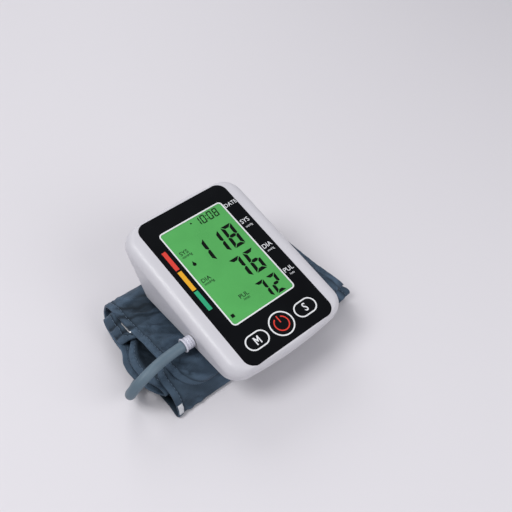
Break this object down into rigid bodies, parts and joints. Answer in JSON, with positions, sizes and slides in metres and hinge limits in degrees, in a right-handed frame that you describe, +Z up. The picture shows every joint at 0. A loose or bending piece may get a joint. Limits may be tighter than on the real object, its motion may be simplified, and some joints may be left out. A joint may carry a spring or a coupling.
{
  "type": "upper arm blood pressure monitor",
  "caption": "Wedge-shaped upper arm blood pressure monitor with a tall display and push buttons, lying on its rolled cloth cuff, joined to it by an air tube.",
  "frame": {"origin": "middle of the bounding box of monitor and cuff without tube and plug, on the surface it rests on", "axes": "+Z up, +X to the monitor's right, +Y to the monitor's rear, away from its buttons"},
  "size_m": [0.1726, 0.1292, 0.0708],
  "materials": {
    "shell_white": "satin white",
    "panel_black": "gloss black with printed legends",
    "frame_silver": "thin light line round the display",
    "display_green": "lit green display with dark segments",
    "white_plastic": "matte",
    "natural_plastic": "matte",
    "elastomer": "matte",
    "key_white": "gloss black with a printed letter",
    "power_key": "gloss black with a printed red symbol",
    "bezel_white": "printed light outline",
    "black_plastic": "matte",
    "board_green": "solder mask",
    "metal": "bright",
    "zinc_steel": "zinc plated",
    "grey_rubber": "matte grey",
    "clear_hose": "soft",
    "cell_wrap": "plain printed sleeve",
    "tube_grey": "soft matte grey",
    "plug_grey": "matte grey",
    "cuff_cloth": "woven nylon with stitched hems",
    "cuff_lining": "smooth nylon lining",
    "hook_tape": "hook tape",
    "loop_tape": "loop pile",
    "bladder_sheet": "smooth",
    "tag_cloth": "bare woven tape"
  },
  "bodies": {
    "monitor_and_cuff": {"air_manifold": "white_plastic", "air_plug": "plug_grey", "air_socket": "natural_plastic", "air_tube": "tube_grey", "backlight_plate": "natural_plastic", "batteries": "cell_wrap", "battery_contacts": "metal", "battery_springs": "metal", "board_screws": "zinc_steel", "bottom_shell": "shell_white", "button_bezels": "bezel_white", "buzzer": "black_plastic", "case_screws": "zinc_steel", "contact_strip": "elastomer", "cuff_bladder": "bladder_sheet", "cuff_flap": "cuff_cloth", "cuff_inner_turn": "cuff_lining", "cuff_port": "plug_grey", "cuff_ring": "metal", "cuff_tag": "tag_cloth", "cuff_wrap": "cuff_cloth", "display_carrier": "white_plastic", "display_frame": "frame_silver", "front_panel": "panel_black", "hook_pad": "hook_tape", "inner_hoses": "clear_hose", "lcd_glass": "display_green", "loop_pad": "loop_tape", "main_board": "board_green", "pressure_sensor": "black_plastic", "processor": "black_plastic", "pump_head": "black_plastic", "pump_motor": "metal", "pump_sleeve": "grey_rubber", "release_valve": "metal", "rubber_feet": "grey_rubber", "switch_bodies": "black_plastic", "top_shell": "shell_white"},
    "battery_door": {"battery_door": "shell_white"},
    "memory_button": {"memory_button": "key_white"},
    "power_button": {"power_button": "power_key"},
    "set_button": {"set_button": "key_white"}
  },
  "joints": [
    {"name": "memory_press", "type": "slide", "parent": "monitor_and_cuff", "child": "memory_button", "axis": [0, 0.2521, -0.9677], "range_m": [0, 0.0008], "stiffness_N_per_m": 400},
    {"name": "power_press", "type": "slide", "parent": "monitor_and_cuff", "child": "power_button", "axis": [0, 0.2521, -0.9677], "range_m": [0, 0.0008], "stiffness_N_per_m": 400},
    {"name": "set_press", "type": "slide", "parent": "monitor_and_cuff", "child": "set_button", "axis": [0, 0.2521, -0.9677], "range_m": [0, 0.0008], "stiffness_N_per_m": 400},
    {"name": "battery_door_slide", "type": "slide", "parent": "monitor_and_cuff", "child": "battery_door", "axis": [0, 1, 0], "range_m": [0, 0.012]}
  ]
}
